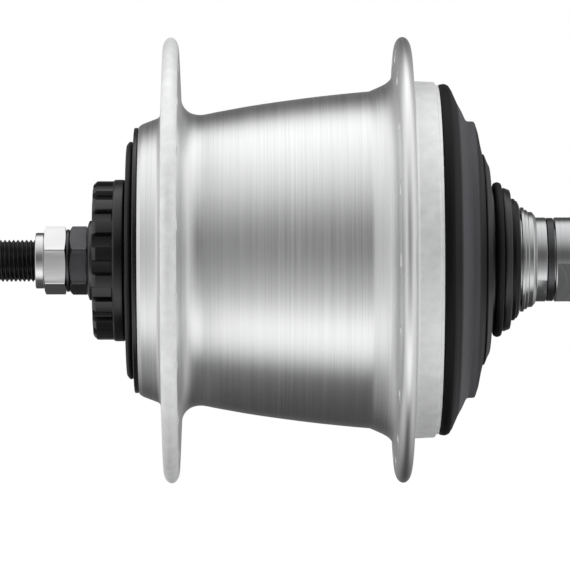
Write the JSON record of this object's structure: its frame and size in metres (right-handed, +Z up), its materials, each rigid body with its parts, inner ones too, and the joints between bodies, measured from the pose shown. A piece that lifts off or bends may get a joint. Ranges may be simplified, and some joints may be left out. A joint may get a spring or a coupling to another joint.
{
  "type": "bicycle hub gear",
  "caption": "Rear bicycle hub gear: brushed shell with two spoke flanges, splined brake boss on the left, stepped black dust cover and driver on the right, threaded axle through the middle.",
  "frame": {"origin": "on the axle's axis, midway between the outer faces of the two lock nuts", "axes": "+X along the axle towards the driven side, +Z up, +Y away from the viewer of the left-to-right view"},
  "size_m": [0.187, 0.1006, 0.1006],
  "materials": {
    "axle": "black oxide",
    "left_lock_nut": "bright plated",
    "left_tab_washer": "satin black",
    "left_cone": "satin black",
    "right_cone": "bright plated",
    "right_lock_nut": "bright plated",
    "large_sun_gear": "machined",
    "sun_lock_key": "machined",
    "sun_circlip": "machined",
    "sun_spacer": "machined",
    "shift_return_spring": "machined",
    "hub_shell": "circumferentially brushed",
    "brake_spline_boss": "satin black",
    "left_dust_disc": "satin black",
    "left_seal_plate": "satin black",
    "left_dust_cap": "satin black",
    "ratchet_ring": "machined",
    "right_race_ring": "machined",
    "clutch_drum": "machined",
    "driver": "satin black",
    "right_dust_cover": "satin black",
    "right_dust_seal": "matt",
    "driver_seal_ring": "matt",
    "right_seal_cap": "satin black",
    "planet_carrier": "machined",
    "planet_pin_1": "machined",
    "planet_pin_2": "machined",
    "planet_pin_3": "machined",
    "clutch_roller_cage": "machined",
    "ring_gear": "machined",
    "pawl_spring_ring": "machined",
    "planet_gear_1": "machined",
    "planet_gear_2": "machined",
    "planet_gear_3": "machined",
    "small_sun_gear": "machined",
    "pawl_1": "machined",
    "pawl_2": "machined",
    "left_ball_cage": "machined",
    "right_ball_cage": "machined",
    "shell_ball_cage": "machined",
    "shift_ring": "satin black",
    "shift_sleeve": "machined"
  },
  "bodies": {
    "axle_group": {"axle": "axle", "left_lock_nut": "left_lock_nut", "left_tab_washer": "left_tab_washer", "left_cone": "left_cone", "right_cone": "right_cone", "right_lock_nut": "right_lock_nut", "large_sun_gear": "large_sun_gear", "sun_lock_key": "sun_lock_key", "sun_circlip": "sun_circlip", "sun_spacer": "sun_spacer", "shift_return_spring": "shift_return_spring"},
    "shell_group": {"hub_shell": "hub_shell", "brake_spline_boss": "brake_spline_boss", "left_dust_disc": "left_dust_disc", "left_seal_plate": "left_seal_plate", "left_dust_cap": "left_dust_cap", "ratchet_ring": "ratchet_ring", "right_race_ring": "right_race_ring", "clutch_drum": "clutch_drum"},
    "driver_group": {"driver": "driver", "right_dust_cover": "right_dust_cover", "right_dust_seal": "right_dust_seal", "driver_seal_ring": "driver_seal_ring", "right_seal_cap": "right_seal_cap"},
    "carrier_group": {"planet_carrier": "planet_carrier", "planet_pin_1": "planet_pin_1", "planet_pin_2": "planet_pin_2", "planet_pin_3": "planet_pin_3", "clutch_roller_cage": "clutch_roller_cage"},
    "ring_group": {"ring_gear": "ring_gear", "pawl_spring_ring": "pawl_spring_ring"},
    "planet_1": {"planet_gear_1": "planet_gear_1"},
    "planet_2": {"planet_gear_2": "planet_gear_2"},
    "planet_3": {"planet_gear_3": "planet_gear_3"},
    "idle_sun": {"small_sun_gear": "small_sun_gear"},
    "pawl_a": {"pawl_1": "pawl_1"},
    "pawl_b": {"pawl_2": "pawl_2"},
    "left_balls": {"left_ball_cage": "left_ball_cage"},
    "right_balls": {"right_ball_cage": "right_ball_cage"},
    "shell_balls": {"shell_ball_cage": "shell_ball_cage"},
    "shifter": {"shift_ring": "shift_ring", "shift_sleeve": "shift_sleeve"}
  },
  "joints": [
    {"name": "shell_spin", "type": "hinge", "parent": "axle_group", "child": "shell_group", "pos_m": [0, 0, 0], "axis": [1, 0, 0], "continuous": true},
    {"name": "driver_spin", "type": "hinge", "parent": "axle_group", "child": "driver_group", "pos_m": [0, 0, 0], "axis": [1, 0, 0], "continuous": true},
    {"name": "carrier_spin", "type": "hinge", "parent": "axle_group", "child": "carrier_group", "pos_m": [0, 0, 0], "axis": [1, 0, 0], "continuous": true},
    {"name": "ring_spin", "type": "hinge", "parent": "axle_group", "child": "ring_group", "pos_m": [0, 0, 0], "axis": [1, 0, 0], "continuous": true},
    {"name": "small_sun_spin", "type": "hinge", "parent": "axle_group", "child": "idle_sun", "pos_m": [0, 0, 0], "axis": [1, 0, 0], "continuous": true},
    {"name": "left_balls_roll", "type": "hinge", "parent": "axle_group", "child": "left_balls", "pos_m": [0, 0, 0], "axis": [1, 0, 0], "continuous": true},
    {"name": "right_balls_roll", "type": "hinge", "parent": "axle_group", "child": "right_balls", "pos_m": [0, 0, 0], "axis": [1, 0, 0], "continuous": true},
    {"name": "shell_balls_roll", "type": "hinge", "parent": "axle_group", "child": "shell_balls", "pos_m": [0, 0, 0], "axis": [1, 0, 0], "continuous": true},
    {"name": "shift_turn", "type": "hinge", "parent": "axle_group", "child": "shifter", "pos_m": [0, 0, 0], "axis": [1, 0, 0], "range_deg": [0, 100]},
    {"name": "planet_1_spin", "type": "hinge", "parent": "carrier_group", "child": "planet_1", "pos_m": [0, 0, 0.0198], "axis": [1, 0, 0], "continuous": true},
    {"name": "planet_2_spin", "type": "hinge", "parent": "carrier_group", "child": "planet_2", "pos_m": [0, -0.01715, -0.0099], "axis": [1, 0, 0], "continuous": true},
    {"name": "planet_3_spin", "type": "hinge", "parent": "carrier_group", "child": "planet_3", "pos_m": [0, 0.01715, -0.0099], "axis": [1, 0, 0], "continuous": true},
    {"name": "pawl_a_swing", "type": "hinge", "parent": "ring_group", "child": "pawl_a", "pos_m": [0.011, 0.02723, 0.00654], "axis": [1, 0, 0], "range_deg": [-9, 0], "stiffness_Nm_per_rad": 0.002},
    {"name": "pawl_b_swing", "type": "hinge", "parent": "ring_group", "child": "pawl_b", "pos_m": [0.011, -0.02723, -0.00654], "axis": [1, 0, 0], "range_deg": [-9, 0], "stiffness_Nm_per_rad": 0.002}
  ],
  "couplings": [
    {"joint": "driver_spin", "follows": "shell_spin", "ratio": 0.66667},
    {"joint": "carrier_spin", "follows": "shell_spin", "ratio": 0.66667},
    {"joint": "ring_spin", "follows": "shell_spin", "ratio": 1},
    {"joint": "small_sun_spin", "follows": "shell_spin", "ratio": -0.66667},
    {"joint": "left_balls_roll", "follows": "shell_spin", "ratio": 0.58035},
    {"joint": "right_balls_roll", "follows": "shell_spin", "ratio": 0.3869},
    {"joint": "shell_balls_roll", "follows": "shell_spin", "ratio": 0.84356},
    {"joint": "planet_1_spin", "follows": "shell_spin", "ratio": 1.3333},
    {"joint": "planet_2_spin", "follows": "shell_spin", "ratio": 1.3333},
    {"joint": "planet_3_spin", "follows": "shell_spin", "ratio": 1.3333}
  ]
}
